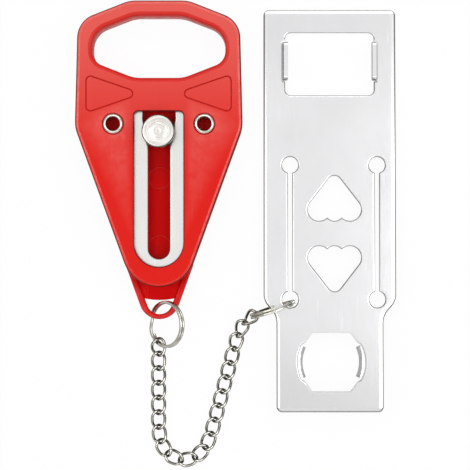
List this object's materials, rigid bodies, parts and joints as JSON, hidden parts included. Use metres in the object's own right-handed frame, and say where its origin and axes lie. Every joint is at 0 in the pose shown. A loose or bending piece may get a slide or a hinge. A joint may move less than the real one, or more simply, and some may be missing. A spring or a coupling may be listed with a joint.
{
  "type": "portable door lock",
  "caption": "Portable door lock: red handled body with a knob sliding in a steel-lined window, chained by split rings to a pierced steel strike plate with bent claws.",
  "frame": {"origin": "on the body's flat back, on its centre line, between the handle opening and the window", "axes": "+X from the body to the strike plate, +Y towards the handle, +Z out of the front faces"},
  "size_m": [0.1168, 0.1701, 0.0178],
  "materials": {
    "front_shell": "gloss red",
    "back_shell": "gloss dark red",
    "guide_plate": "bright rolled sheet",
    "rivet": "nickel plated",
    "knob": "turned and plated",
    "ring": "nickel plated",
    "chain": "nickel plated",
    "strike_plate": "satin with polished edges"
  },
  "bodies": {
    "lock_body": {"back_shell": "back_shell", "front_shell": "front_shell", "guide_plate": "guide_plate", "eyelet_left": "rivet", "eyelet_right": "rivet"},
    "knob": {"knob_head": "knob", "knob_stud": "knob"},
    "body_ring": {"body_ring": "ring"},
    "link_01": {"chain_link_01": "chain"},
    "link_02": {"chain_link_02": "chain"},
    "link_03": {"chain_link_03": "chain"},
    "link_04": {"chain_link_04": "chain"},
    "link_05": {"chain_link_05": "chain"},
    "link_06": {"chain_link_06": "chain"},
    "link_07": {"chain_link_07": "chain"},
    "link_08": {"chain_link_08": "chain"},
    "link_09": {"chain_link_09": "chain"},
    "link_10": {"chain_link_10": "chain"},
    "link_11": {"chain_link_11": "chain"},
    "link_12": {"chain_link_12": "chain"},
    "link_13": {"chain_link_13": "chain"},
    "link_14": {"chain_link_14": "chain"},
    "link_15": {"chain_link_15": "chain"},
    "link_16": {"chain_link_16": "chain"},
    "link_17": {"chain_link_17": "chain"},
    "link_18": {"chain_link_18": "chain"},
    "link_19": {"chain_link_19": "chain"},
    "link_20": {"chain_link_20": "chain"},
    "link_21": {"chain_link_21": "chain"},
    "plate_ring": {"plate_ring": "ring"},
    "strike_plate": {"strike_plate": "strike_plate"}
  },
  "joints": [
    {"name": "knob_slide", "type": "slide", "parent": "lock_body", "child": "knob", "axis": [0, -1, 0], "range_m": [-0.0039, 0.0425]},
    {"name": "body_ring_turn", "type": "hinge", "parent": "lock_body", "child": "body_ring", "pos_m": [0.0026, -0.08336, 0.0066], "axis": [-0.6871, 0, 0.7266], "range_deg": [-25, 25]},
    {"name": "link_01_tilt", "type": "hinge", "parent": "body_ring", "child": "link_01", "pos_m": [-0.0005, -0.0893, 0.00399], "axis": [1, 0, 0], "range_deg": [-15, 15]},
    {"name": "link_02_bend", "type": "hinge", "parent": "link_01", "child": "link_02", "pos_m": [-0.0005, -0.09438, 0.00214], "axis": [0, -0.1392, 0.9903], "range_deg": [-20, 0]},
    {"name": "link_03_tilt", "type": "hinge", "parent": "link_02", "child": "link_03", "pos_m": [-0.0005, -0.09972, 0.00139], "axis": [-1, 0, 0], "range_deg": [-25, 25]},
    {"name": "link_04_bend", "type": "hinge", "parent": "link_03", "child": "link_04", "pos_m": [-0.0005, -0.10512, 0.00139], "axis": [0, 0, -1], "range_deg": [0, 20]},
    {"name": "link_05_tilt", "type": "hinge", "parent": "link_04", "child": "link_05", "pos_m": [-0.0005, -0.11052, 0.00139], "axis": [1, 0, 0], "range_deg": [-25, 25]},
    {"name": "link_06_bend", "type": "hinge", "parent": "link_05", "child": "link_06", "pos_m": [-0.0005, -0.11592, 0.00139], "axis": [0, 0, 1], "range_deg": [-20, 0]},
    {"name": "link_07_tilt", "type": "hinge", "parent": "link_06", "child": "link_07", "pos_m": [-0.0005, -0.12132, 0.00139], "axis": [-0.9932, -0.1164, 0], "range_deg": [-25, 25]},
    {"name": "link_08_bend", "type": "hinge", "parent": "link_07", "child": "link_08", "pos_m": [0.00013, -0.12669, 0.00139], "axis": [0, 0, -1], "range_deg": [0, 20]},
    {"name": "link_09_tilt", "type": "hinge", "parent": "link_08", "child": "link_09", "pos_m": [0.00284, -0.13136, 0.00139], "axis": [0.44, 0.898, 0], "range_deg": [-25, 25]},
    {"name": "link_10_bend", "type": "hinge", "parent": "link_09", "child": "link_10", "pos_m": [0.00769, -0.13373, 0.00139], "axis": [0, 0, 1], "range_deg": [-20, 0]},
    {"name": "link_11_tilt", "type": "hinge", "parent": "link_10", "child": "link_11", "pos_m": [0.01299, -0.13269, 0.00139], "axis": [0.7056, -0.7086, 0], "range_deg": [-25, 25]},
    {"name": "link_12_bend", "type": "hinge", "parent": "link_11", "child": "link_12", "pos_m": [0.01681, -0.12888, 0.00139], "axis": [0, 0, -1], "range_deg": [0, 20]},
    {"name": "link_13_tilt", "type": "hinge", "parent": "link_12", "child": "link_13", "pos_m": [0.01881, -0.12387, 0.00139], "axis": [-0.9659, 0.2588, 0], "range_deg": [-25, 25]},
    {"name": "link_14_bend", "type": "hinge", "parent": "link_13", "child": "link_14", "pos_m": [0.02021, -0.11865, 0.00139], "axis": [0, 0, 1], "range_deg": [-20, 0]},
    {"name": "link_15_tilt", "type": "hinge", "parent": "link_14", "child": "link_15", "pos_m": [0.0216, -0.11343, 0.00139], "axis": [0.9659, -0.2588, 0], "range_deg": [-25, 25]},
    {"name": "link_16_bend", "type": "hinge", "parent": "link_15", "child": "link_16", "pos_m": [0.023, -0.10822, 0.00139], "axis": [0, 0, -1], "range_deg": [0, 20]},
    {"name": "link_17_tilt", "type": "hinge", "parent": "link_16", "child": "link_17", "pos_m": [0.0244, -0.103, 0.00139], "axis": [-0.9659, 0.2588, 0], "range_deg": [-25, 25]},
    {"name": "link_18_bend", "type": "hinge", "parent": "link_17", "child": "link_18", "pos_m": [0.0258, -0.09778, 0.00139], "axis": [0, 0, 1], "range_deg": [-20, 0]},
    {"name": "link_19_tilt", "type": "hinge", "parent": "link_18", "child": "link_19", "pos_m": [0.0272, -0.09257, 0.00139], "axis": [0.9659, -0.2588, 0], "range_deg": [-25, 25]},
    {"name": "link_20_bend", "type": "hinge", "parent": "link_19", "child": "link_20", "pos_m": [0.02857, -0.08743, 0.00233], "axis": [0.1251, 0.2456, -0.9613], "range_deg": [0, 20]},
    {"name": "link_21_tilt", "type": "hinge", "parent": "link_20", "child": "link_21", "pos_m": [0.03093, -0.08281, 0.00382], "axis": [-0.6293, 0.7771, 0], "range_deg": [-25, 25]},
    {"name": "plate_ring_swing", "type": "hinge", "parent": "link_21", "child": "plate_ring", "pos_m": [0.03487, -0.07961, 0.00566], "axis": [0.3123, -0.95, 0], "range_deg": [-25, 25]},
    {"name": "strike_plate_swing", "type": "hinge", "parent": "plate_ring", "child": "strike_plate", "pos_m": [0.0413, -0.07786, 0.00806], "axis": [0.3123, -0.95, 0], "range_deg": [-40, 40]}
  ]
}
